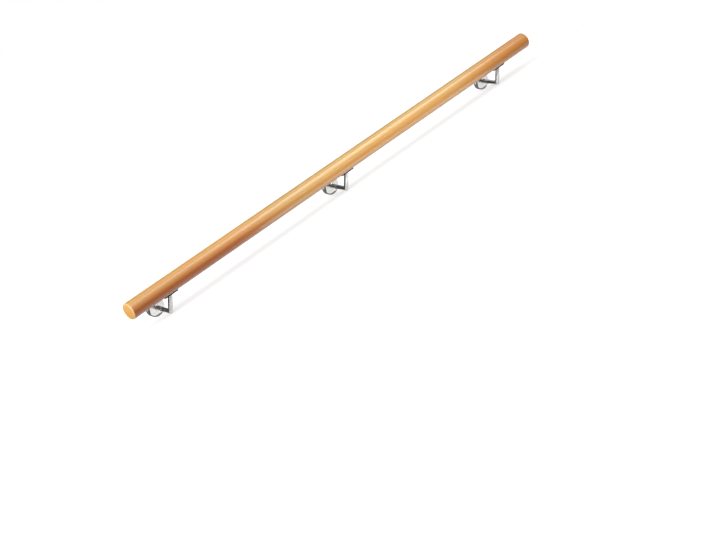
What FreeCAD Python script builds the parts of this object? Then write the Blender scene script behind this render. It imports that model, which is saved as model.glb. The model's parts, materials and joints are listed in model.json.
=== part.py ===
"""Round wooden stair handrail on three steel wall brackets.

The rail is turned from one length of hardwood. Each bracket is a round bar that comes out of a
turned wall rose, turns up at a tight corner and ends under a curved saddle plate, which two wood
screws hold to the rail. The set is drawn as it hangs, then set down on its feet.
"""
import FreeCAD, Part
import math
import os

from FreeCAD import Vector

# Rail
RAIL_LENGTH = 1500.0
RAIL_DIAMETER = 45.0
RAIL_EDGE_RADIUS = 4.0

# Brackets, evenly spaced along the rail
BRACKET_COUNT = 3
BRACKET_END_DISTANCE = 125.0
WALL_DISTANCE = 68.0
ARM_DROP = 66.0
LEG_LEAN = 20.0
BAR_DIAMETER = 12.0

# Turned wall rose
ROSE_DIAMETER = 50.0
ROSE_THICKNESS = 14.0
ROSE_BEVEL = 1.2

# Tapped hole in the wall end of the bar, for a hanger bolt
STUD_DRILL_DIAMETER = 6.8
STUD_HOLE_DEPTH = 20.0

# Curved saddle plate
SADDLE_LENGTH = 44.0
SADDLE_WIDTH = 24.0
SADDLE_THICKNESS = 2.5
SADDLE_CORNER_RADIUS = 8.0

# Pan-head wood screws, placed from the saddle's ends
SCREW_END_DISTANCE = 6.0
SCREW_LENGTH = 20.0
SCREW_SHANK_DIAMETER = 3.5
SCREW_HEAD_DIAMETER = 7.0
SCREW_HEAD_HEIGHT = 2.5

# Gaps left between pieces that seat on each other
SEAT_GAP = 0.05
BORE_GAP = 0.1

# Rounds in which the standing angle settles
ANGLE_ROUNDS = 50

# Sizes that follow from the ones above
rail_radius = RAIL_DIAMETER / 2
bar_radius = BAR_DIAMETER / 2
rose_radius = ROSE_DIAMETER / 2
saddle_inner_radius = rail_radius + SEAT_GAP
saddle_outer_radius = saddle_inner_radius + SADDLE_THICKNESS
under_saddle_radius = saddle_outer_radius + SEAT_GAP
rim_distance = WALL_DISTANCE - ROSE_THICKNESS + ROSE_BEVEL
lean = math.radians(LEG_LEAN)
leg_direction = Vector(math.sin(lean), 0, math.cos(lean))
to_room = Vector(0, -1, 0)
down = Vector(0, 0, -1)
along = Vector(1, 0, 0)


def quarter_round(centre, radius, start, end):
    """Edge of a fillet in a turning outline: the arc about centre from one angle to another."""

    def point(degrees):
        angle = math.radians(degrees)
        return Vector(centre[0] + radius * math.cos(angle), 0, centre[1] + radius * math.sin(angle))

    return Part.Arc(point(start), point((start + end) / 2), point(end)).toShape()


def straight(start, end):
    """Straight edge of a turning outline between two (radius, height) points."""
    return Part.LineSegment(Vector(start[0], 0, start[1]), Vector(end[0], 0, end[1])).toShape()


def turned(edges, base, direction):
    """Solid turned from an outline of radius and height, stood at base along direction."""
    face = Part.Face(Part.Wire(edges))
    solid = face.revolve(Vector(), Vector(0, 0, 1), 360)
    solid.Placement = FreeCAD.Placement(base, FreeCAD.Rotation(Vector(0, 0, 1), direction))
    return solid


def saddle_centre(index):
    """Distance along the rail, from its middle, to the middle of a bracket's saddle."""
    first = BRACKET_END_DISTANCE - RAIL_LENGTH / 2
    spacing = (RAIL_LENGTH - 2 * BRACKET_END_DISTANCE) / (BRACKET_COUNT - 1)
    return first + index * spacing


def bar_corner(index):
    """Point where the axes of a bracket's arm and leg meet."""
    run = (ARM_DROP - rail_radius) * math.tan(lean)
    return Vector(saddle_centre(index) - run, 0, -ARM_DROP)


def rail_blank():
    """The rail before it is drilled, with eased edges at both ends."""
    shoulder = rail_radius - RAIL_EDGE_RADIUS
    far_edge = RAIL_LENGTH - RAIL_EDGE_RADIUS
    edges = [
        straight((0, 0), (shoulder, 0)),
        quarter_round((shoulder, RAIL_EDGE_RADIUS), RAIL_EDGE_RADIUS, -90, 0),
        straight((rail_radius, RAIL_EDGE_RADIUS), (rail_radius, far_edge)),
        quarter_round((shoulder, far_edge), RAIL_EDGE_RADIUS, 0, 90),
        straight((shoulder, RAIL_LENGTH), (0, RAIL_LENGTH)),
        straight((0, RAIL_LENGTH), (0, 0)),
    ]
    return turned(edges, Vector(-RAIL_LENGTH / 2, 0, 0), along)


def wall_rose(index):
    """Turned disc against the wall, with a bevelled front edge and a bore for the bar."""
    bore = bar_radius + BORE_GAP
    shoulder = rose_radius - ROSE_BEVEL
    rim = ROSE_THICKNESS - ROSE_BEVEL
    edges = [
        straight((bore, 0), (rose_radius, 0)),
        straight((rose_radius, 0), (rose_radius, rim)),
        straight((rose_radius, rim), (shoulder, ROSE_THICKNESS)),
        straight((shoulder, ROSE_THICKNESS), (bore, ROSE_THICKNESS)),
        straight((bore, ROSE_THICKNESS), (bore, 0)),
    ]
    return turned(edges, bar_corner(index) + Vector(0, WALL_DISTANCE, 0), to_room)


def stud_hole(mouth):
    """Hole in the wall end of a bar, bored to the tapping size of the hanger bolt."""
    return Part.makeCylinder(STUD_DRILL_DIAMETER / 2, STUD_HOLE_DEPTH, mouth, to_room)


def bracket_arm(index):
    """Round bar from the wall to a tight round corner and up the leg, cut to fit under the saddle."""
    corner = bar_corner(index)
    wall_end = corner + Vector(0, WALL_DISTANCE, 0)
    arm = Part.makeCylinder(bar_radius, WALL_DISTANCE, wall_end, to_room)
    leg = Part.makeCylinder(bar_radius, ARM_DROP / math.cos(lean), corner, leg_direction)
    corner_ball = Part.makeSphere(bar_radius, corner, to_room.cross(leg_direction))
    bar = arm.fuse([leg, corner_ball]).removeSplitter()
    saddle_room = Part.makeCylinder(under_saddle_radius, RAIL_LENGTH, Vector(-RAIL_LENGTH / 2, 0, 0), along)
    return bar.cut(saddle_room).cut(stud_hole(wall_end))


def saddle_outline():
    """Plan of a saddle: a rectangle with rounded corners, about its own middle."""
    half_length = SADDLE_LENGTH / 2
    half_width = SADDLE_WIDTH / 2
    plate = Part.makePlane(SADDLE_LENGTH, SADDLE_WIDTH, Vector(-half_length, -half_width, 0))
    block = plate.extrude(down * rail_radius * 2)
    upright = [edge for edge in block.Edges if abs(edge.tangentAt(edge.FirstParameter).z) > 0.5]
    return block.makeFillet(SADDLE_CORNER_RADIUS, upright)


def saddle_plate(index):
    """Plate rolled to the rail's underside and drilled for its screws."""
    middle = Vector(saddle_centre(index), 0, 0)
    start = middle - along * SADDLE_LENGTH
    outer = Part.makeCylinder(saddle_outer_radius, SADDLE_LENGTH * 2, start, along)
    inner = Part.makeCylinder(saddle_inner_radius, SADDLE_LENGTH * 2, start, along)
    outline = saddle_outline().translated(middle)
    plate = outer.cut(inner).common(outline)
    for position in screw_positions(index):
        plate = plate.cut(screw_hole(position))
    return plate


def screw_positions(index):
    """Points on the rail's axis above a saddle's two screws, lower end of the rail first."""
    middle = saddle_centre(index)
    reach = SADDLE_LENGTH / 2 - SCREW_END_DISTANCE
    return [Vector(middle - reach, 0, 0), Vector(middle + reach, 0, 0)]


def screw_tip(position):
    """Point inside the rail where a screw's shank ends."""
    return position + down * (under_saddle_radius - SCREW_LENGTH)


def screw_hole(position):
    """Space for a screw's shank in the rail and the saddle."""
    radius = SCREW_SHANK_DIAMETER / 2 + BORE_GAP
    tip = screw_tip(position) - down * BORE_GAP
    return Part.makeCylinder(radius, SCREW_LENGTH + BORE_GAP, tip, down)


def screw(position):
    """Pan-head wood screw, head down, seated under the saddle."""
    shank = SCREW_SHANK_DIAMETER / 2
    head = SCREW_HEAD_DIAMETER / 2
    top = SCREW_LENGTH + SCREW_HEAD_HEIGHT
    edges = [
        straight((0, 0), (shank, 0)),
        straight((shank, 0), (shank, SCREW_LENGTH)),
        straight((shank, SCREW_LENGTH), (head, SCREW_LENGTH)),
        straight((head, SCREW_LENGTH), (head, top)),
        straight((head, top), (0, top)),
        straight((0, top), (0, 0)),
    ]
    return turned(edges, screw_tip(position), down)


def handrail():
    """The rail, drilled from below for the saddles' screws."""
    rail = rail_blank()
    for index in range(BRACKET_COUNT):
        for position in screw_positions(index):
            rail = rail.cut(screw_hole(position))
    return rail


def standing_angle():
    """Tilt, in radians, at which the roses' front rims and the bars' corners meet the floor together."""
    angle = 0.0
    for _ in range(ANGLE_ROUNDS):
        rise = rose_radius * math.cos(angle) - bar_radius
        angle = math.atan2(rise, rim_distance * math.cos(angle))
    return angle


def standing_placement():
    """Placement that sets the hung rail down on the floor, centred over the origin."""
    angle = standing_angle()
    rim_drop = ARM_DROP + rose_radius
    floor = rim_distance * math.sin(angle) - rim_drop * math.cos(angle)
    back = WALL_DISTANCE * math.cos(angle) + rim_drop * math.sin(angle)
    shift = Vector(0, (rail_radius - back) / 2, -floor)
    return FreeCAD.Placement(shift, FreeCAD.Rotation(along, math.degrees(angle)))


def save(shape, node):
    """Set a finished piece down where it stands and write it."""
    placed = shape.transformed(standing_placement().toMatrix(), True)
    placed.exportStep("parts/" + node + ".step")


def main():
    """Make every piece of the handrail."""
    os.makedirs("parts", exist_ok=True)
    save(handrail(), "handrail")
    for index in range(BRACKET_COUNT):
        number = str(index + 1)
        save(wall_rose(index), "wall_rose_" + number)
        save(bracket_arm(index), "bracket_arm_" + number)
        save(saddle_plate(index), "saddle_plate_" + number)
        for letter, position in zip("ab", screw_positions(index)):
            save(screw(position), "saddle_screw_" + number + letter)


main()
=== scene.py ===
"""Looks of a round wooden stair handrail on three steel wall brackets.

Every mesh is drawn the way the rail hangs: x runs up the rail, y into the wall and z up, with the
rail's axis through the origin. The stand then tips the whole set onto its feet.
"""

import json
import logging
import math
from dataclasses import dataclass
from enum import Enum
from typing import Any

import bmesh
import bpy
from mathutils import Matrix, Vector


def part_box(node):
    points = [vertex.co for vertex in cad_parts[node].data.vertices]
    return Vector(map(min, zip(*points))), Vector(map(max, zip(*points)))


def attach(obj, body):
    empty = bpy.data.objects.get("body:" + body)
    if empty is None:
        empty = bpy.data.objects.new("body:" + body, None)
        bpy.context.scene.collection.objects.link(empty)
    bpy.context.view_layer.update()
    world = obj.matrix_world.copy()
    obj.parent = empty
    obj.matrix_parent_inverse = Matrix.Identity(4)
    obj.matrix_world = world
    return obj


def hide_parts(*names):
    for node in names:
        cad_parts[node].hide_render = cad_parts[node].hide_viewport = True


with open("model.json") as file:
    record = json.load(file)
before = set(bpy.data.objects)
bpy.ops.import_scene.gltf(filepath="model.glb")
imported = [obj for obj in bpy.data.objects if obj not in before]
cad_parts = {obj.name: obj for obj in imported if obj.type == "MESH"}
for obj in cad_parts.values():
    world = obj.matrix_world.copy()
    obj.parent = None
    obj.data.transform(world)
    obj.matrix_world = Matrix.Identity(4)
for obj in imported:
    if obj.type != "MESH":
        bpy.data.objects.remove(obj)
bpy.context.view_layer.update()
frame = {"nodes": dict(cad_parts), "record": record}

Colour = tuple[float, float, float, float]
Tones = tuple[Colour, Colour, Colour]
Place = tuple[float, float, float]
Pair = tuple[float, float]
Outline = list[Pair]
Ring = list[Vector]
Inputs = dict[str | int, Any]
Corners = list[bmesh.types.BMVert]
Socket = bpy.types.NodeSocket
Material = bpy.types.Material
Piece = bpy.types.Object

BODY = "root"
OWN_PLACE = "own_place"
SMOOTH_ANGLE = math.radians(32)
MERGE_DISTANCE = 1e-7
QUARTER_TURN = math.pi / 2
WALLWARD = Vector((0.0, 1.0, 0.0))
UNIT: Pair = (0.0, 1.0)
BLACK: Colour = (0.0, 0.0, 0.0, 1.0)
WHITE: Colour = (1.0, 1.0, 1.0, 1.0)

log = logging.getLogger("handrail")


def srgb(red: int, green: int, blue: int) -> Colour:
    """Turn a screen colour into the colour that shaders take.

    Args:
        red: Red from 0 to 255.
        green: Green from 0 to 255.
        blue: Blue from 0 to 255.

    Returns:
        Linear red, green and blue, and an alpha of one.
    """

    def channel(value: int) -> float:
        """Linear strength of one channel."""
        share = value / 255
        return share / 12.92 if share <= 0.04045 else ((share + 0.055) / 1.055) ** 2.4

    return channel(red), channel(green), channel(blue), 1.0


def arc(centre: Pair, radius: float, start: float, end: float, steps: int) -> Outline:
    """Sample an arc of a turning outline.

    Args:
        centre: Distance from the axis and height of the arc's centre.
        radius: Radius of the arc.
        start: First angle in degrees, from the outward direction.
        end: Last angle in degrees.
        steps: Number of chords.

    Returns:
        Points from start to end, both included.
    """
    angles = [math.radians(start + (end - start) * step / steps) for step in range(steps + 1)]
    return [(centre[0] + radius * math.cos(a), centre[1] + radius * math.sin(a)) for a in angles]


def turn_points(segments: int) -> list[float]:
    """Angles of the points round a turned ring."""
    return [2 * math.pi * step / segments for step in range(segments)]


def turned_rings(outline: Outline, segments: int, place: Matrix) -> list[Ring]:
    """Turn an outline about an axis.

    Args:
        outline: Distances from the axis and heights along it.
        segments: Points in each ring.
        place: Takes the axis from +Z at the origin to its place.

    Returns:
        One ring for each point of the outline, or a single point on the axis.
    """
    rings: list[Ring] = []
    for radius, height in outline:
        angles = turn_points(segments) if radius > 0 else [0.0]
        points = [Vector((radius * math.cos(a), radius * math.sin(a), height)) for a in angles]
        rings.append([place @ point for point in points])
    return rings


def band(mesh: bmesh.types.BMesh, first: Corners, second: Corners) -> None:
    """Close the strip between two rings, either of which may be a single point.

    Args:
        mesh: Mesh that holds the points.
        first: Points of one ring.
        second: Points of the other ring.
    """
    count = max(len(first), len(second))
    for step in range(count):
        after = (step + 1) % count
        corners = [first[step % len(first)], first[after % len(first)]]
        corners += [second[after % len(second)], second[step % len(second)]]
        mesh.faces.new(list(dict.fromkeys(corners)))


def skinned(name: str, rings: list[Ring], place: Matrix, looped: bool = False) -> Piece:
    """Make a closed object from rings of points.

    Args:
        name: Name of the object.
        rings: Rings in order, with a single point where the skin closes.
        place: Place of the object.
        looped: Whether the last ring joins the first, as round a bore.

    Returns:
        The object, linked to the scene.
    """
    mesh = bmesh.new()
    skins = [[mesh.verts.new(point) for point in ring] for ring in rings]
    pairs = list(zip(skins, skins[1:]))
    if looped:
        pairs.append((skins[-1], skins[0]))
    for first, second in pairs:
        band(mesh, first, second)
    bmesh.ops.remove_doubles(mesh, verts=mesh.verts, dist=MERGE_DISTANCE)
    bmesh.ops.recalc_face_normals(mesh, faces=mesh.faces)
    data = bpy.data.meshes.new(name)
    mesh.to_mesh(data)
    mesh.free()
    data.shade_smooth()
    data.set_sharp_from_angle(angle=SMOOTH_ANGLE)
    own_place = data.attributes.new(OWN_PLACE, "FLOAT_VECTOR", "POINT")
    for vertex, entry in zip(data.vertices, own_place.data):
        entry.vector = vertex.co
    data.transform(place)
    piece = bpy.data.objects.new(name, data)
    bpy.context.scene.collection.objects.link(piece)
    return piece


@dataclass(frozen=True)
class Grain:
    """Streaky or cloudy noise: features to the metre along each axis, and octaves of finer ones."""

    scale: Place
    detail: float


class ShaderGraph:
    """Node graph of one material or of the world."""

    def __init__(self, owner: bpy.types.Material | bpy.types.World) -> None:
        """Start with an empty graph.

        Args:
            owner: Material or world that the graph belongs to.
        """
        owner.use_nodes = True
        self.owner = owner
        self.tree = owner.node_tree
        self.tree.nodes.clear()

    @classmethod
    def of_material(cls, name: str) -> "ShaderGraph":
        """Start a new material with an empty graph."""
        return cls(bpy.data.materials.new(name))

    def add(self, kind: str, inputs: Inputs | None = None, **settings: Any) -> bpy.types.Node:
        """Add a node.

        Args:
            kind: Node type, without its ShaderNode prefix.
            inputs: Values or output sockets for the node's inputs.
            **settings: Properties of the node itself.

        Returns:
            The node.
        """
        node = self.tree.nodes.new("ShaderNode" + kind)
        for name, value in settings.items():
            setattr(node, name, value)
        for key, value in (inputs or {}).items():
            if isinstance(value, bpy.types.NodeSocket):
                self.tree.links.new(value, node.inputs[key])
            else:
                node.inputs[key].default_value = value
        return node

    def own_place(self) -> Socket:
        """Coordinates of a piece as it was drawn, before it was set in place."""
        return self.add("Attribute", attribute_name=OWN_PLACE).outputs["Vector"]

    def combine(self, operation: str, first: Any, second: Any = 0.0, clamp: bool = True) -> Socket:
        """Combine two numbers.

        Args:
            operation: Name of the sum.
            first: Number or output socket.
            second: Number or output socket.
            clamp: Whether the result is kept from 0 to 1.

        Returns:
            Output socket of the result.
        """
        return self.add("Math", {0: first, 1: second}, operation=operation, use_clamp=clamp).outputs[0]

    def ranged(self, value: Socket, source: Pair, target: Pair = UNIT, smooth: bool = False) -> Socket:
        """Map a number from one range to another and keep it there.

        Args:
            value: Output socket of the number.
            source: Range that the number comes from.
            target: Range that it goes to.
            smooth: Whether it eases in and out.

        Returns:
            Output socket of the result.
        """
        inputs = {"Value": value, "From Min": source[0], "From Max": source[1]}
        inputs |= {"To Min": target[0], "To Max": target[1]}
        kind = "SMOOTHSTEP" if smooth else "LINEAR"
        return self.add("MapRange", inputs, interpolation_type=kind).outputs[0]

    def ramp(self, factor: Socket, stops: list[tuple[float, Colour]]) -> Socket:
        """Turn a number into a colour.

        Args:
            factor: Output socket of the number.
            stops: Positions and colours in order.

        Returns:
            Output socket of the colour.
        """
        node = self.add("ValToRGB", {0: factor})
        elements = node.color_ramp.elements
        while len(elements) < len(stops):
            elements.new(1.0)
        for element, (position, colour) in zip(elements, stops):
            element.position = position
            element.color = colour
        return node.outputs[0]

    def mix(self, factor: Any, first: Any, second: Any, blend: str = "MIX") -> Socket:
        """Blend two colours.

        Args:
            factor: Number or output socket, from all of the first to all of the second.
            first: Colour or output socket.
            second: Colour or output socket.
            blend: How the second is laid over the first.

        Returns:
            Output socket of the colour.
        """
        inputs = {0: factor, 6: first, 7: second}
        return self.add("Mix", inputs, data_type="RGBA", blend_type=blend).outputs[2]

    def noise(self, vector: Socket, grain: Grain) -> Socket:
        """Noise that is stretched to a grain.

        Args:
            vector: Output socket of the coordinates.
            grain: Scale and detail of the noise.

        Returns:
            Output socket of the noise.
        """
        stretched = self.add("Mapping", {"Vector": vector, "Scale": grain.scale}).outputs[0]
        inputs = {"Vector": stretched, "Scale": 1.0, "Detail": grain.detail}
        return self.add("TexNoise", inputs).outputs["Fac"]

    def bump(self, height: Socket, depth: float) -> Socket:
        """Surface direction under a fine relief of a depth in metres."""
        return self.add("Bump", {"Height": height, "Distance": depth}).outputs[0]

    def surface(self, shader: bpy.types.Node) -> Material:
        """Finish the material with its shader."""
        self.add("OutputMaterial", {"Surface": shader.outputs[0]})
        return self.owner


class Marks(Enum):
    """Ways in which steel takes its fine marks: in rings, along the bar or along the rail."""

    TURNED = Grain((2600.0, 1.0, 1.0), 4.0)
    DRAWN = Grain((1500.0, 160.0, 160.0), 3.0)
    ROLLED = Grain((30.0, 1800.0, 1800.0), 3.0)


@dataclass(frozen=True)
class SteelFinish:
    """Polished, satin or very dark steel."""

    name: str
    colour: Colour
    dull_colour: Colour
    roughness: float
    marks: Marks
    edge_tint: Colour = WHITE
    smear: Grain = Grain((90.0, 90.0, 90.0), 4.0)
    smear_edges: Pair = (0.35, 0.6)
    roughness_spread: Pair = (0.7, 1.5)
    relief_depth: float = 4e-6

    def relief(self, graph: ShaderGraph) -> Socket:
        """Fine marks of the way the steel was worked.

        Args:
            graph: Graph of the material.

        Returns:
            Output socket of the relief.
        """
        place = graph.own_place()
        if self.marks is Marks.TURNED:
            # The rings run about the piece's own z axis
            across = {0: place, 1: (1.0, 1.0, 0.0)}
            flat = graph.add("VectorMath", across, operation="MULTIPLY").outputs[0]
            radius = graph.add("VectorMath", {0: flat}, operation="LENGTH").outputs["Value"]
            place = graph.add("CombineXYZ", {"X": radius}).outputs[0]
        return graph.noise(place, self.marks.value)

    def build(self) -> Material:
        """Make the material.

        Returns:
            The material.
        """
        graph = ShaderGraph.of_material(self.name)
        relief = self.relief(graph)
        smear = graph.noise(graph.own_place(), self.smear)
        dull, clean = self.smear_edges
        least, most = self.roughness_spread
        shader = graph.add("BsdfPrincipled", {
            "Base Color": graph.ramp(smear, [(dull, self.dull_colour), (clean, self.colour)]),
            "Metallic": 1.0,
            "Roughness": graph.ranged(relief, UNIT, (self.roughness * least, self.roughness * most)),
            "Specular Tint": self.edge_tint,
            "Normal": graph.bump(relief, self.relief_depth),
        })
        return graph.surface(shader)


@dataclass(frozen=True)
class WoodFinish:
    """Light hardwood under clear satin lacquer, for a round rail with eased ends."""

    half_length: float
    radius: float
    end_depth: float
    name: str = "lacquered_hardwood"
    pale: Colour = srgb(237, 190, 114)
    middle: Colour = srgb(229, 178, 100)
    dark: Colour = srgb(213, 156, 78)
    figure_stops: Place = (0.25, 0.5, 0.78)
    ring_share: float = 0.3
    fibre_share: float = 0.4
    board_share: float = 0.3
    pith: Place = (0.0, 0.052, 0.085)
    ring_stretch: Place = (0.035, 1.0, 1.0)
    ring_scale: float = 52.0
    ring_waver: float = 3.2
    ring_detail: float = 3.0
    ring_detail_scale: float = 0.35
    fibre: Grain = Grain((7.0, 520.0, 520.0), 3.0)
    board: Grain = Grain((2.2, 26.0, 26.0), 2.0)
    pores: Grain = Grain((55.0, 1500.0, 1500.0), 1.0)
    pore: Colour = srgb(166, 104, 48)
    pore_edges: Pair = (0.6, 0.72)
    pore_strength: float = 0.3
    # Painted light and shade: multipliers that lighten the rail's top and darken and redden its
    # underside, each with its own tones at the ends and in the middle
    painted_light_tones: Tones = (srgb(253, 243, 232), srgb(236, 244, 248), srgb(233, 200, 138))
    painted_shade_tones: Tones = (srgb(220, 150, 78), srgb(242, 224, 196), srgb(232, 184, 96))
    painted_shade_depths: Pair = (0.95, 0.1)
    tone_stops: tuple[float, ...] = (0.27, 0.41, 0.85, 1.0)
    tone_waver: Grain = Grain((3.0, 40.0, 40.0), 2.0)
    tone_waver_share: float = 0.1
    end_grain: Colour = srgb(233, 166, 50)
    end_strength: float = 0.75
    # Painted highlight: pale colour laid on the eased edges of the rail's ends
    edge_highlight_colour: Colour = srgb(252, 206, 150)
    edge_highlight_stops: tuple[float, ...] = (0.1, 0.45, 0.85, 1.0)
    edge_highlight_strength: float = 0.8
    roughness: Pair = (0.34, 0.5)
    gloss: float = 0.4
    lacquer: float = 0.85
    lacquer_roughness: float = 0.26
    relief_depth: float = 8e-6

    def growth_rings(self, graph: ShaderGraph, place: Socket) -> Socket:
        """Wavering growth rings about a pith outside the rail.

        Args:
            graph: Graph of the material.
            place: Output socket of the coordinates.

        Returns:
            Output socket of the rings, pale at 0 and dark at 1.
        """
        shift = {"Vector": place, "Location": self.pith, "Scale": self.ring_stretch}
        wave = graph.add("TexWave", {
            "Vector": graph.add("Mapping", shift).outputs[0],
            "Scale": self.ring_scale,
            "Distortion": self.ring_waver,
            "Detail": self.ring_detail,
            "Detail Scale": self.ring_detail_scale,
        }, wave_type="RINGS", rings_direction="X", wave_profile="SAW")
        return wave.outputs["Fac"]

    def bare_wood(self, graph: ShaderGraph, place: Socket, fibre: Socket) -> Socket:
        """Colour of the wood from its growth rings, its fibres and its broader streaks.

        Args:
            graph: Graph of the material.
            place: Output socket of the coordinates.
            fibre: Output socket of the fibres.

        Returns:
            Output socket of the colour.
        """
        rings = graph.combine("MULTIPLY", self.growth_rings(graph, place), self.ring_share)
        fibres = graph.combine("MULTIPLY", fibre, self.fibre_share)
        streaks = graph.combine("MULTIPLY", graph.noise(place, self.board), self.board_share)
        figure = graph.combine("ADD", graph.combine("ADD", rings, fibres), streaks)
        return graph.ramp(figure, list(zip(self.figure_stops, (self.pale, self.middle, self.dark))))

    def tone(self, graph: ShaderGraph, place: Socket) -> Socket:
        """Painted light and shade: a lighter top and a darker, redder underside, lighter in the middle of
        the rail and redder towards the ends.

        Args:
            graph: Graph of the material.
            place: Output socket of the coordinates.

        Returns:
            Output socket of the tone, which the wood's colour is multiplied by.
        """
        axes = graph.add("SeparateXYZ", {"Vector": place}).outputs
        along = graph.ranged(axes["X"], (-self.half_length, self.half_length))
        waver = graph.combine("MULTIPLY", graph.noise(place, self.tone_waver), self.tone_waver_share)
        along = graph.combine("ADD", along, waver)
        # Painted light for the top and painted shade for the underside, each changing along the rail
        top_light, under_shade = (
            graph.ramp(along, list(zip(self.tone_stops, (lower, middle, middle, upper))))
            for lower, middle, upper in (self.painted_light_tones, self.painted_shade_tones)
        )
        # Painted shade: the darker tones take over from near the top down to the axis
        top, core = self.painted_shade_depths
        depth = graph.ranged(axes["Z"], (self.radius * top, self.radius * core))
        return graph.mix(depth, top_light, under_shade)

    def end_share(self, graph: ShaderGraph, place: Socket) -> Socket:
        """Share of end grain, which is one on the faces of the rail's ends.

        Args:
            graph: Graph of the material.
            place: Output socket of the coordinates.

        Returns:
            Output socket of the share.
        """
        along = graph.add("SeparateXYZ", {"Vector": place}).outputs["X"]
        from_middle = graph.combine("ABSOLUTE", along, clamp=False)
        return graph.ranged(from_middle, (self.half_length - self.end_depth, self.half_length))

    def ended(self, graph: ShaderGraph, place: Socket, wood: Socket, toned: Socket) -> Socket:
        """Give the rail end grain on its end faces and a painted highlight of paler wood on their eased
        edges.

        Args:
            graph: Graph of the material.
            place: Output socket of the coordinates.
            wood: Output socket of the wood's colour.
            toned: Output socket of the colour with its painted light and shade.

        Returns:
            Output socket of the colour.
        """
        share = self.end_share(graph, place)
        end_wood = graph.mix(self.end_strength, wood, self.end_grain)
        colour = graph.mix(share, toned, end_wood)
        # Painted highlight: a pale band round the eased edge of each end
        highlight_band = graph.ramp(share, list(zip(self.edge_highlight_stops, (BLACK, WHITE, WHITE, BLACK))))
        return graph.mix(graph.combine("MULTIPLY", highlight_band, self.edge_highlight_strength), colour, self.edge_highlight_colour)

    def build(self) -> Material:
        """Make the material.

        Returns:
            The material.
        """
        graph = ShaderGraph.of_material(self.name)
        place = graph.own_place()
        fibre = graph.noise(place, self.fibre)
        open_pores = graph.ranged(graph.noise(place, self.pores), self.pore_edges)
        wood = self.bare_wood(graph, place, fibre)
        flecked = graph.mix(graph.combine("MULTIPLY", open_pores, self.pore_strength), wood, self.pore)
        toned = graph.mix(1.0, flecked, self.tone(graph, place), "MULTIPLY")
        relief = graph.combine("SUBTRACT", fibre, open_pores)
        shader = graph.add("BsdfPrincipled", {
            "Base Color": self.ended(graph, place, wood, toned),
            "Roughness": graph.ranged(fibre, UNIT, self.roughness),
            "Specular IOR Level": self.gloss,
            "Coat Weight": self.lacquer,
            "Coat Roughness": self.lacquer_roughness,
            "Normal": graph.bump(relief, self.relief_depth),
        })
        return graph.surface(shader)


@dataclass(frozen=True)
class FloorFinish:
    """Floor that shows white, keeps the shadow and throws only a little light back up."""

    name: str = "pale_floor"
    shown: Colour = (0.55, 0.55, 0.55, 1.0)
    thrown: Colour = (0.16, 0.16, 0.16, 1.0)
    near_lift: float = 0.58
    far_lift: float = 0.97
    mirrored_lift: float = 0.75
    shadow_middle: float = -0.17
    shadow_half: float = 0.85
    near: float = 0.16
    far: float = 0.5

    def lift(self, graph: ShaderGraph) -> Socket:
        """Brightness that makes up for the light, which falls off all round the shadow.

        Args:
            graph: Graph of the material.

        Returns:
            Output socket of the brightness.
        """
        place = graph.add("NewGeometry").outputs["Position"]
        axes = graph.add("SeparateXYZ", {"Vector": place}).outputs
        across = graph.combine("SUBTRACT", axes["Y"], self.shadow_middle, clamp=False)
        aside = graph.combine("ABSOLUTE", across, clamp=False)
        along = graph.combine("ABSOLUTE", axes["X"], clamp=False)
        beyond = graph.combine("SUBTRACT", along, self.shadow_half, clamp=False)
        distance = graph.combine("MAXIMUM", aside, beyond, clamp=False)
        return graph.ranged(distance, (self.near, self.far), (self.near_lift, self.far_lift), smooth=True)

    def build(self) -> Material:
        """Make the material.

        Returns:
            The material.
        """
        graph = ShaderGraph.of_material(self.name)
        path = graph.add("LightPath").outputs
        mirrored = graph.combine("MAXIMUM", path["Is Glossy Ray"], path["Is Transmission Ray"])
        seen = graph.combine("MAXIMUM", path["Is Camera Ray"], mirrored)
        straight = graph.combine("MULTIPLY", path["Is Camera Ray"], self.lift(graph))
        reflected = graph.combine("MULTIPLY", mirrored, self.mirrored_lift)
        lifted = graph.add("Emission", {"Strength": graph.combine("MAXIMUM", straight, reflected)})
        white = graph.add("BsdfDiffuse", {"Color": self.shown})
        bright = graph.add("AddShader", {0: white.outputs[0], 1: lifted.outputs[0]})
        quiet = graph.add("BsdfDiffuse", {"Color": self.thrown})
        return graph.surface(graph.add("MixShader", {0: seen, 1: quiet.outputs[0], 2: bright.outputs[0]}))


class Shade(Enum):
    """Studio cloths and cards, each with the brightness that reflections see."""

    BLACK_CLOTH = 0.05
    DIM_CLOTH = 0.2
    GREY_CARD = 0.5
    BRIGHT_CARD = 2.5


@dataclass(frozen=True)
class FlagFinish:
    """Even cloth or card of a studio flag."""

    shade: Shade

    def build(self) -> Material:
        """Make the material."""
        graph = ShaderGraph.of_material(self.shade.name.lower())
        return graph.surface(graph.add("Emission", {"Strength": self.shade.value}))


# Very dark steel for the saddle plates and their screws, which show as a nearly black line under the rail
DARK_EDGE_TINT = srgb(60, 60, 60)
ROSE_STEEL = SteelFinish("turned_steel", srgb(228, 228, 226), srgb(216, 216, 213), 0.2, Marks.TURNED)
BAR_STEEL = SteelFinish("polished_bar", srgb(194, 194, 192), srgb(178, 178, 175), 0.2, Marks.DRAWN)
SADDLE_STEEL = SteelFinish(
    "blackened_sheet", srgb(30, 29, 28), srgb(22, 21, 20), 0.34, Marks.ROLLED, DARK_EDGE_TINT
)
SCREW_STEEL = SteelFinish(
    "blackened_screw", srgb(40, 39, 38), srgb(30, 29, 28), 0.3, Marks.TURNED, DARK_EDGE_TINT
)


def mount(name: str) -> dict[str, Any]:
    """Find one of the part's mounts by name."""
    return next(entry for entry in frame["record"]["mounts"] if entry["name"] == name)


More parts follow.
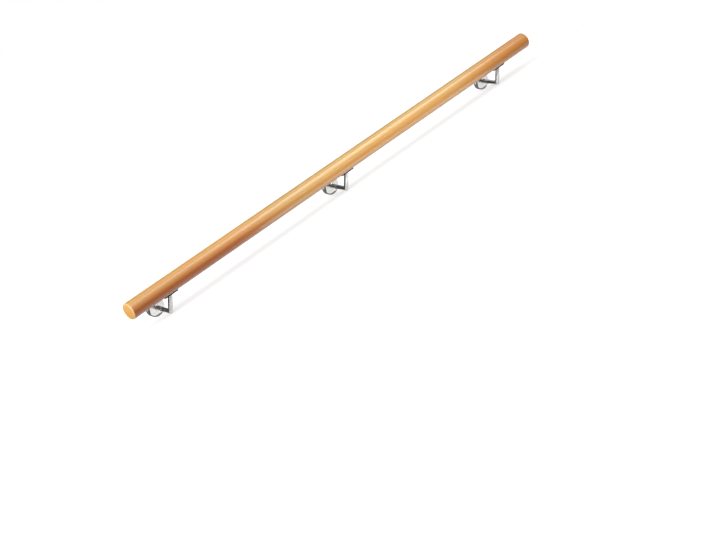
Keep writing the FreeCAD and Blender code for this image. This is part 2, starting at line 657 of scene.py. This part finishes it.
@dataclass
class Stand:
    """How the hung set is tipped and set down on the floor."""

    tilt: float
    rail_middle: Vector

    @classmethod
    def from_frame(cls) -> "Stand":
        """Read the stand from the mounts at the rail's ends and in the wall.

        Returns:
            The stand.
        """
        ends = [Vector(mount(name)["pos_m"]) for name in ("rail_end_lower", "rail_end_upper")]
        wallward = Vector(mount("stud_socket_1")["axis"])
        return cls(math.atan2(wallward.z, wallward.y), (ends[0] + ends[1]) / 2)

    def matrix(self) -> Matrix:
        """Place of the hung set on the floor."""
        return Matrix.Translation(self.rail_middle) @ Matrix.Rotation(self.tilt, 4, "X")

    def hung(self, point: Vector) -> Vector:
        """Where a point of the standing set lies when the rail hangs."""
        return self.matrix().inverted() @ point


def dress(piece: Piece, finish: Material, node: str) -> Piece:
    """Give a piece its finish and put it in its node's place.

    Args:
        piece: The piece.
        finish: Its material.
        node: Part of the frame that it stands for.

    Returns:
        The piece.
    """
    piece.data.materials.append(finish)
    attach(piece, BODY)
    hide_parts(node)
    return piece


@dataclass
class Handrail:
    """Round rail turned from one length of hardwood."""

    length: float
    radius: float
    edge_radius: float = 0.004
    edge_steps: int = 10
    segments: int = 160
    stretches: int = 60

    def outline(self) -> Outline:
        """Half outline of the rail.

        Returns:
            Points from the middle of one end to the middle of the other.
        """
        shoulder = self.radius - self.edge_radius
        far = self.length - self.edge_radius
        stretch = (far - self.edge_radius) / self.stretches
        side = [(self.radius, self.edge_radius + stretch * step) for step in range(1, self.stretches)]
        near_edge = arc((shoulder, self.edge_radius), self.edge_radius, -90, 0, self.edge_steps)
        far_edge = arc((shoulder, far), self.edge_radius, 0, 90, self.edge_steps)
        return [(0.0, 0.0), *near_edge, *side, *far_edge, (0.0, self.length)]

    def build(self, stand: Stand, finish: Material) -> Piece:
        """Make the rail.

        Args:
            stand: Place of the set.
            finish: Wood of the rail.

        Returns:
            The rail.
        """
        lower_end = Matrix.Translation((-self.length / 2, 0, 0)) @ Matrix.Rotation(QUARTER_TURN, 4, "Y")
        rings = turned_rings(self.outline(), self.segments, lower_end)
        piece = skinned("rail_wood_length", rings, stand.matrix())
        return dress(piece, finish, "handrail")


@dataclass
class WallRose:
    """Turned disc that bears on the wall."""

    radius: float = 0.025
    thickness: float = 0.014
    edge_radius: float = 0.0045
    edge_steps: int = 12
    ease: float = 0.0003
    bore: float = 0.0061
    seam_width: float = 0.006
    segments: int = 128

    def outline(self) -> Outline:
        """Outline round the disc's section.

        Returns:
            Points from the bore at the wall, over the rim and back to the bore at the front.
        """
        rim_top = self.thickness - self.edge_radius
        shoulder = self.radius - self.edge_radius
        return [
            (self.bore, 0.0),
            (self.radius - self.ease, 0.0),
            (self.radius, self.ease),
            *arc((shoulder, rim_top), self.edge_radius, 0, 90, self.edge_steps),
            (self.bore + self.seam_width, self.thickness),
            (self.bore, self.thickness),
        ]

    def build(self, number: int, wall_point: Vector, stand: Stand, finish: Material) -> Piece:
        """Make one rose.

        Args:
            number: Number of the bracket.
            wall_point: Middle of the rose on the wall, as the rail hangs.
            stand: Place of the set.
            finish: Steel of the rose.

        Returns:
            The rose.
        """
        to_room = Matrix.Rotation(QUARTER_TURN, 4, "X")
        rings = turned_rings(self.outline(), self.segments, Matrix.Identity(4))
        place = stand.matrix() @ Matrix.Translation(wall_point) @ to_room
        piece = skinned("rose_disc_%d" % number, rings, place, looped=True)
        return dress(piece, finish, "wall_rose_%d" % number)


@dataclass
class BracketArm:
    """Round bar out of the wall, turned up at a tight corner and welded to the rose and the saddle.

    A weld's section is a row of points, from the seam to the bare bar: its rise over the bar and its
    distance from the seam, as shares of the weld's leg.
    """

    reach: float
    drop: float
    lean: float
    saddle_radius: float
    rose_thickness: float
    radius: float = 0.006
    segments: int = 96
    corner_steps: int = 12
    weld_leg: float = 0.0008
    weld_section: tuple[Pair, ...] = ((1.0, 0.0), (0.7, 0.4), (0.3, 0.8), (0.0, 1.2))
    weld_gap: float = 0.00002
    weld_ripple: float = 0.00005
    weld_ripples: int = 24
    tap_radius: float = 0.0034
    thread_radius: float = 0.004
    thread_pitch: float = 0.00125
    tap_depth: float = 0.02
    drill_point: float = 0.002
    end_ease: float = 0.0004

    def leg(self) -> Vector:
        """Direction of the leg, from the corner up to the saddle."""
        return Vector((math.sin(self.lean), 0.0, math.cos(self.lean)))

    def across(self) -> Vector:
        """Direction square to both the arm and the leg."""
        return WALLWARD.cross(self.leg())

    def offsets(self, radius: float, ripple: float = 0.0) -> list[Pair]:
        """Points round the bar, measured from its axis.

        Args:
            radius: Distance from the axis.
            ripple: Height of a weld's ripples.

        Returns:
            Distances across the corner's plane and towards its inner side.
        """
        ring: list[Pair] = []
        for angle in turn_points(self.segments):
            distance = radius + ripple * math.cos(self.weld_ripples * angle)
            ring.append((distance * math.cos(angle), distance * math.sin(angle)))
        return ring

    def arm_ring(self, radius: float, distance: float, ripple: float = 0.0) -> Ring:
        """Ring round the arm.

        Args:
            radius: Distance from the arm's axis.
            distance: Distance from the corner.
            ripple: Height of a weld's ripples.

        Returns:
            The points.
        """
        across, leg = self.across(), self.leg()
        points = self.offsets(radius, ripple)
        return [across * aside + leg * inward + WALLWARD * distance for aside, inward in points]

    def corner_rings(self) -> list[Ring]:
        """Rings over the corner, sharp inside and rounded like a ball outside.

        Returns:
            Rings from the arm to the leg.
        """
        across, leg = self.across(), self.leg()
        rings: list[Ring] = []
        for step in range(self.corner_steps + 1):
            angle = QUARTER_TURN * step / self.corner_steps
            swept = leg * math.cos(angle) + WALLWARD * math.sin(angle)
            ring: Ring = []
            for aside, inward in self.offsets(self.radius):
                ring.append(across * aside + (swept if inward < 0 else leg + WALLWARD) * inward)
            rings.append(ring)
        return rings

    def leg_ring(self, radius: float, below: float, ripple: float = 0.0) -> Ring:
        """Ring round the leg, cut to lie under the saddle's curve.

        Args:
            radius: Distance from the leg's axis.
            below: Distance under the saddle.
            ripple: Height of a weld's ripples.

        Returns:
            The points.
        """
        ring: Ring = []
        across, leg = self.across(), self.leg()
        for aside, inward in self.offsets(radius, ripple):
            point = across * aside + WALLWARD * inward
            top = self.drop - math.sqrt(self.saddle_radius**2 - point.y**2)
            ring.append(point + leg * ((top - point.z) / leg.z - below))
        return ring

    def socket_rings(self) -> list[Ring]:
        """Rings of the tapped hole in the wall end.

        Returns:
            Rings from the bottom of the hole to its mouth.
        """
        bottom = self.reach - self.tap_depth
        rings: list[Ring] = [[Vector((0.0, bottom - self.drill_point, 0.0))]]
        rings.append(self.arm_ring(self.tap_radius, bottom))
        turns = int((self.tap_depth - 2 * self.thread_pitch) / self.thread_pitch)
        for turn in range(turns):
            foot = bottom + (turn + 1) * self.thread_pitch
            rings.append(self.arm_ring(self.tap_radius, foot))
            rings.append(self.arm_ring(self.thread_radius, foot + self.thread_pitch / 2))
        rings.append(self.arm_ring(self.tap_radius, self.reach - self.thread_pitch))
        rings.append(self.arm_ring(self.thread_radius + self.end_ease, self.reach))
        return rings

    def weld(self) -> list[tuple[float, float, float]]:
        """Rings of a weld bead.

        Returns:
            Radius, distance from the seam and height of the ripples, from the seam to the bare bar.
        """
        bead: list[tuple[float, float, float]] = []
        for rise, run in self.weld_section:
            ripple = self.weld_ripple if rise else 0.0
            bead.append((self.radius + self.weld_leg * rise, self.weld_leg * run, ripple))
        return bead

    def rings(self) -> list[Ring]:
        """All rings of the bar.

        Returns:
            Rings from the bottom of its tapped hole to the saddle.
        """
        face = self.reach - self.rose_thickness
        top = self.drop - self.saddle_radius
        rings = self.socket_rings()
        rings.append(self.arm_ring(self.radius - self.end_ease, self.reach))
        rings.append(self.arm_ring(self.radius, self.reach - self.end_ease))
        rings.append(self.arm_ring(self.radius, face))
        for radius, run, ripple in self.weld():
            rings.append(self.arm_ring(radius, face - max(run, self.weld_gap), ripple))
        rings.append(self.arm_ring(self.radius, face / 2))
        rings += self.corner_rings()
        for radius, run, ripple in reversed(self.weld()):
            rings.append(self.leg_ring(radius, run, ripple))
        rings.append([Vector((top * math.tan(self.lean), 0.0, top))])
        return rings

    def build(self, number: int, corner: Vector, stand: Stand, finish: Material) -> Piece:
        """Make one bar.

        Args:
            number: Number of the bracket.
            corner: Point where the arm's and the leg's axes meet, as the rail hangs.
            stand: Place of the set.
            finish: Steel of the bar.

        Returns:
            The bar.
        """
        place = stand.matrix() @ Matrix.Translation(corner)
        piece = skinned("bar_arm_%d" % number, self.rings(), place)
        return dress(piece, finish, "bracket_arm_%d" % number)


@dataclass
class SaddlePlate:
    """Plate rolled to the underside of the rail, with rounded corners and eased edges."""

    inner_radius: float
    length: float = 0.044
    width: float = 0.024
    thickness: float = 0.0025
    corner_radius: float = 0.008
    corner_steps: int = 12
    side_steps: int = 12
    ease: float = 0.0004
    ease_bow: float = 0.3
    face_rings: tuple[float, ...] = (0.2, 0.4, 0.6, 0.8, 0.93)

    @property
    def outer_radius(self) -> float:
        """Radius of the plate's underside about the rail's axis."""
        return self.inner_radius + self.thickness

    def plan(self, inset: float) -> Outline:
        """Points round the plate's plan.

        Args:
            inset: Distance inside the plate's edge.

        Returns:
            Places along and across the rail.
        """
        corner = self.corner_radius - inset
        along = self.length / 2 - self.corner_radius
        across = self.width / 2 - self.corner_radius
        centres = ((along, across), (-along, across), (-along, -across), (along, -across))
        turns: list[Outline] = []
        for number, centre in enumerate(centres):
            turns.append(arc(centre, corner, 90 * number, 90 * number + 90, self.corner_steps))
        points: Outline = []
        for turn, following in zip(turns, turns[1:] + turns[:1]):
            first, last = Vector(turn[-1]), Vector(following[0])
            side = [first.lerp(last, step / self.side_steps) for step in range(1, self.side_steps)]
            points += turn + [(point.x, point.y) for point in side]
        return points

    def ring(self, radius: float, inset: float, share: float = 1.0) -> Ring:
        """Ring of the plan, laid on a curve about the rail's axis.

        Args:
            radius: Radius of the curve.
            inset: Distance inside the plate's edge.
            share: Share of the plan's size, for rings within a face.

        Returns:
            The points.
        """
        ring: Ring = []
        for x, y in self.plan(inset):
            across = y * share
            ring.append(Vector((x * share, across, -math.sqrt(radius**2 - across**2))))
        return ring

    def rings(self) -> list[Ring]:
        """All rings of the plate.

        Returns:
            Rings from the middle of its top to the middle of its underside.
        """
        top, under, ease = self.inner_radius, self.outer_radius, self.ease
        bow = ease * self.ease_bow
        return [
            [Vector((0.0, 0.0, -top))],
            *[self.ring(top, ease, share) for share in self.face_rings],
            self.ring(top, ease),
            self.ring(top + bow, bow),
            self.ring(top + ease, 0.0),
            self.ring(under - ease, 0.0),
            self.ring(under - bow, bow),
            self.ring(under, ease),
            *[self.ring(under, ease, share) for share in reversed(self.face_rings)],
            [Vector((0.0, 0.0, -under))],
        ]

    def build(self, number: int, middle: Vector, stand: Stand, finish: Material) -> Piece:
        """Make one plate.

        Args:
            number: Number of the bracket.
            middle: Point on the rail's axis above the plate, as the rail hangs.
            stand: Place of the set.
            finish: Steel of the plate.

        Returns:
            The plate.
        """
        place = stand.matrix() @ Matrix.Translation(middle)
        piece = skinned("saddle_%d" % number, self.rings(), place)
        return dress(piece, finish, "saddle_plate_%d" % number)


@dataclass
class SaddleScrew:
    """Pan-head wood screw with a cross recess.

    The head's dome is a row of points, from its seat to its face: shares of the head's radius and height.
    """

    head_radius: float = 0.0035
    head_height: float = 0.0025
    dome: tuple[Pair, ...] = (
        (1.0, 0.0), (1.0, 0.42), (0.96, 0.66), (0.86, 0.86), (0.7, 0.97), (0.6, 1.0)
    )
    shank_radius: float = 0.00175
    core_radius: float = 0.0012
    length: float = 0.02
    thread_pitch: float = 0.0016
    point_length: float = 0.004
    recess_reach: float = 0.0019
    recess_width: float = 0.0005
    recess_depth: float = 0.0014
    recess_taper: float = 0.6
    least_sine: float = 1e-6
    segments: int = 96

    def recess_ring(self, height: float, share: float) -> Ring:
        """Ring of the cross recess.

        Args:
            height: Height over the head's seat.
            share: Share of the wings' full reach.

        Returns:
            The points.
        """
        ring: Ring = []
        for angle in turn_points(self.segments):
            off_wing = abs((angle + QUARTER_TURN / 2) % QUARTER_TURN - QUARTER_TURN / 2)
            tip = self.recess_reach * share / math.cos(off_wing)
            flank = self.recess_width / max(math.sin(off_wing), self.least_sine)
            distance = min(tip, flank)
            ring.append(Vector((distance * math.cos(angle), distance * math.sin(angle), height)))
        return ring

    def outline(self) -> Outline:
        """Outline of the screw.

        Returns:
            Points from its tip up to the face of its head.
        """
        points: Outline = [(0.0, -self.length)]
        turns = int((self.length - self.point_length) / self.thread_pitch) - 1
        for turn in range(turns):
            foot = -self.length + self.point_length + turn * self.thread_pitch
            points.append((self.core_radius, foot))
            points.append((self.shank_radius, foot + self.thread_pitch / 2))
        head = [(self.head_radius * across, self.head_height * up) for across, up in self.dome]
        return [*points, (self.core_radius, 0.0), *head]

    def build(self, node: str, seat: Vector, stand: Stand, finish: Material) -> Piece:
        """Make one screw.

        Args:
            node: Part of the frame that it stands for.
            seat: Middle of the head's seat, as the rail hangs.
            stand: Place of the set.
            finish: Steel of the screw.

        Returns:
            The screw.
        """
        floor = self.head_height - self.recess_depth
        rings = turned_rings(self.outline(), self.segments, Matrix.Identity(4))
        rings.append(self.recess_ring(self.head_height, 1.0))
        rings.append(self.recess_ring(floor, self.recess_taper))
        rings.append([Vector((0.0, 0.0, floor))])
        head_down = Matrix.Rotation(math.pi, 4, "X")
        place = stand.matrix() @ Matrix.Translation(seat) @ head_down
        piece = skinned(node.replace("saddle_screw", "screw"), rings, place)
        return dress(piece, finish, node)


@dataclass
class Bracket:
    """One wall bracket: a rose, an L-shaped bar, a saddle and two screws."""

    number: int
    wall_point: Vector
    saddle_middle: Vector
    rail_radius: float
    seat_gap: float = 0.00005
    screw_end_distance: float = 0.006

    @classmethod
    def from_frame(cls, number: int, stand: Stand, rail_radius: float) -> "Bracket":
        """Find a bracket's place in the frame.

        Args:
            number: Number of the bracket, from the rail's lower end.
            stand: Place of the set.
            rail_radius: Radius of the rail.

        Returns:
            The bracket.
        """
        low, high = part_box("saddle_plate_%d" % number)
        wall_point = stand.hung(Vector(mount("stud_socket_%d" % number)["pos_m"]))
        return cls(number, wall_point, Vector(((low.x + high.x) / 2, 0.0, 0.0)), rail_radius)

    def build(self, stand: Stand, finishes: dict[str, Material]) -> list[Piece]:
        """Make the bracket's pieces.

        Args:
            stand: Place of the set.
            finishes: Materials by slot.

        Returns:
            The pieces.
        """
        rose = WallRose()
        saddle = SaddlePlate(self.rail_radius + self.seat_gap)
        drop = -self.wall_point.z
        corner = Vector((self.wall_point.x, 0.0, -drop))
        under = saddle.outer_radius + self.seat_gap
        arm = BracketArm(
            reach=self.wall_point.y,
            drop=drop,
            lean=math.atan2(self.saddle_middle.x - corner.x, drop - self.rail_radius),
            saddle_radius=under,
            rose_thickness=rose.thickness,
        )
        pieces = [
            rose.build(self.number, self.wall_point, stand, finishes["rose_steel"]),
            arm.build(self.number, corner, stand, finishes["bar_steel"]),
            saddle.build(self.number, self.saddle_middle, stand, finishes["saddle_steel"]),
        ]
        spread = saddle.length / 2 - self.screw_end_distance
        for letter, side in (("a", -1), ("b", 1)):
            seat = self.saddle_middle + Vector((side * spread, 0.0, -under))
            node = "saddle_screw_%d%s" % (self.number, letter)
            pieces.append(SaddleScrew().build(node, seat, stand, finishes["screw_steel"]))
        return pieces


def sheet(name: str, size: Pair, place: Matrix, finish: Material) -> Piece:
    """Make a flat sheet that isn't part of the object.

    Args:
        name: Name of the sheet.
        size: Width along its own x axis and depth along its own y axis.
        place: Place of the sheet.
        finish: Its material.

    Returns:
        The sheet.
    """
    data = bpy.data.meshes.new(name)
    x, y = size[0] / 2, size[1] / 2
    data.from_pydata([(-x, -y, 0), (x, -y, 0), (x, y, 0), (-x, y, 0)], [], [(0, 1, 2, 3)])
    data.materials.append(finish)
    flat = bpy.data.objects.new(name, data)
    bpy.context.scene.collection.objects.link(flat)
    flat.matrix_world = place
    return flat


class Facing(Enum):
    """Ways in which a studio flag is set up."""

    UP = "flat on the floor"
    FRONT = "upright along the rail"
    SIDE = "upright across the rail"

    def turn(self) -> Matrix:
        """Rotation of a sheet that is drawn flat.

        Returns:
            The rotation.
        """
        if self is Facing.UP:
            return Matrix.Identity(4)
        upright = Matrix.Rotation(QUARTER_TURN, 4, "X")
        return upright if self is Facing.FRONT else Matrix.Rotation(QUARTER_TURN, 4, "Z") @ upright


@dataclass(frozen=True)
class Flag:
    """Flat cloth or card of the studio that only reflections show."""

    name: str
    size: Pair
    middle: Place
    facing: Facing
    shade: Shade

    def build(self, name: str, along: float, finish: Material) -> None:
        """Set up the flag.

        Args:
            name: Name of the sheet.
            along: Distance along the rail that the flag's place is measured from.
            finish: Its material.
        """
        place = Matrix.Translation(Vector(self.middle) + Vector((along, 0.0, 0.0)))
        cloth = sheet(name, self.size, place @ self.facing.turn(), finish)
        cloth.visible_camera = False
        cloth.visible_diffuse = False
        cloth.visible_shadow = False


@dataclass(frozen=True)
class SoftLight:
    """Rectangular soft light, which may be kept out of reflections or off plain surfaces."""

    name: str
    power: float
    size: Pair
    place: Place
    aim: Place = (0.0, 0.0, 0.07)
    in_reflections: bool = True
    on_surfaces: bool = True

    def build(self) -> None:
        """Hang the light."""
        light = bpy.data.lights.new(self.name, "AREA")
        light.shape = "RECTANGLE"
        light.size, light.size_y = self.size
        light.energy = self.power
        lamp = bpy.data.objects.new(self.name, light)
        bpy.context.scene.collection.objects.link(lamp)
        lamp.location = self.place
        lamp.rotation_mode = "QUATERNION"
        lamp.rotation_quaternion = (Vector(self.aim) - Vector(self.place)).to_track_quat("-Z", "Y")
        lamp.visible_glossy = self.in_reflections
        lamp.visible_diffuse = self.on_surfaces


ROOM_FLAGS = (
    Flag("flag_behind", (3.8, 0.9), (0.0, 0.9, 1.15), Facing.FRONT, Shade.BLACK_CLOTH),
    Flag("flag_over", (2.1, 1.2), (-0.75, 0.9, 2.2), Facing.FRONT, Shade.BLACK_CLOTH),
    Flag("flag_beyond", (1.6, 0.4), (-1.6, 0.1, 0.2), Facing.SIDE, Shade.BLACK_CLOTH),
    Flag("card_front", (3.0, 0.5), (0.6, -0.35, 0.0005), Facing.UP, Shade.GREY_CARD),
    Flag("card_strip", (0.9, 0.045), (0.155, -0.0775, 0.001), Facing.UP, Shade.BRIGHT_CARD),
)
BRACKET_FLAGS = (
    Flag("flag_floor", (0.41, 0.85), (-0.105, 0.463, 0.0005), Facing.UP, Shade.DIM_CLOTH),
    Flag("flag_beside", (0.052, 0.06), (-0.03, 0.016, 0.03), Facing.SIDE, Shade.BLACK_CLOTH),
)
LIGHTS = (
    SoftLight("key_light", 18.0, (3.4, 1.0), (0.7, -1.05, 1.6), aim=(0.7, 0.0, 0.0)),
    SoftLight("side_light", 40.0, (1.0, 1.0), (-2.6, -0.4, 0.8)),
    SoftLight("fill_light", 4.4, (0.5, 0.3), (0.25, -0.85, 0.16), in_reflections=False),
    SoftLight("back_light", 9.0, (2.4, 0.8), (0.0, 1.3, 0.9), in_reflections=False),
    SoftLight("sheen_light", 10.0, (1.1, 0.9), (1.2, -1.1, 1.5), on_surfaces=False),
)


@dataclass
class Studio:
    """Floor, soft light, flags and the camera."""

    floor_size: float = 80.0
    sky: float = 0.3
    camera_place: Place = (-2.53541, -3.67446, 0.7904)
    camera_heading: float = 33.5917
    camera_pitch: float = -12.5792
    camera_roll: float = -28.3557
    camera_lens: float = 86.6350
    camera_sensor: float = 36.0

    def flags(self, sockets: list[Vector]) -> None:
        """Set up the flags of the room, and those behind and beside each bracket.

        Args:
            sockets: Where the brackets meet the wall.
        """
        cloths = {shade: FlagFinish(shade).build() for shade in Shade}
        for flag in ROOM_FLAGS:
            flag.build(flag.name, 0.0, cloths[flag.shade])
        for number, socket in enumerate(sockets, 1):
            for flag in BRACKET_FLAGS:
                flag.build("%s_%d" % (flag.name, number), socket.x, cloths[flag.shade])

    def world(self) -> None:
        """Even sky, white where the camera and reflections see it."""
        graph = ShaderGraph(bpy.data.worlds.new("studio_sky"))
        path = graph.add("LightPath").outputs
        seen = graph.combine("MAXIMUM", path["Is Camera Ray"], path["Is Glossy Ray"])
        strength = graph.ranged(seen, UNIT, (self.sky, 1.0))
        background = graph.add("Background", {"Color": WHITE, "Strength": strength})
        graph.add("OutputWorld", {"Surface": background.outputs[0]})
        bpy.context.scene.world = graph.owner

    def camera(self) -> None:
        """Camera at the photograph's place and angle."""
        data = bpy.data.cameras.new("camera")
        data.lens = self.camera_lens
        data.sensor_width = self.camera_sensor
        camera = bpy.data.objects.new("camera", data)
        bpy.context.scene.collection.objects.link(camera)
        heading = Matrix.Rotation(-math.radians(self.camera_heading), 4, "Z")
        pitch = Matrix.Rotation(math.radians(90 + self.camera_pitch), 4, "X")
        roll = Matrix.Rotation(math.radians(self.camera_roll), 4, "Z")
        camera.matrix_world = Matrix.Translation(self.camera_place) @ heading @ pitch @ roll
        bpy.context.scene.camera = camera

    def build(self, sockets: list[Vector]) -> None:
        """Set up the studio.

        Args:
            sockets: Where the brackets meet the wall.
        """
        bpy.context.scene.view_settings.view_transform = "Standard"
        sheet("floor", (self.floor_size, self.floor_size), Matrix.Identity(4), FloorFinish().build())
        self.flags(sockets)
        self.world()
        for light in LIGHTS:
            light.build()
        self.camera()


def main() -> None:
    """Build the rail, its brackets and the studio, and report each piece."""
    logging.basicConfig(level=logging.INFO, format="%(name)s %(message)s")
    stand = Stand.from_frame()
    low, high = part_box("handrail")
    rail = Handrail(high.x - low.x, (high.z - low.z) / 2)
    finishes = {
        "rail_wood": WoodFinish(rail.length / 2, rail.radius, rail.edge_radius).build(),
        "rose_steel": ROSE_STEEL.build(),
        "bar_steel": BAR_STEEL.build(),
        "saddle_steel": SADDLE_STEEL.build(),
        "screw_steel": SCREW_STEEL.build(),
    }
    pieces = [rail.build(stand, finishes["rail_wood"])]
    count = sum(1 for name in frame["nodes"] if name.startswith("wall_rose_"))
    numbers = range(1, count + 1)
    for number in numbers:
        pieces += Bracket.from_frame(number, stand, rail.radius).build(stand, finishes)
    for piece in pieces:
        log.info("%s: %d faces", piece.name, len(piece.data.polygons))
    Studio().build([Vector(mount("stud_socket_%d" % number)["pos_m"]) for number in numbers])


if __name__ == "__main__":
    main()
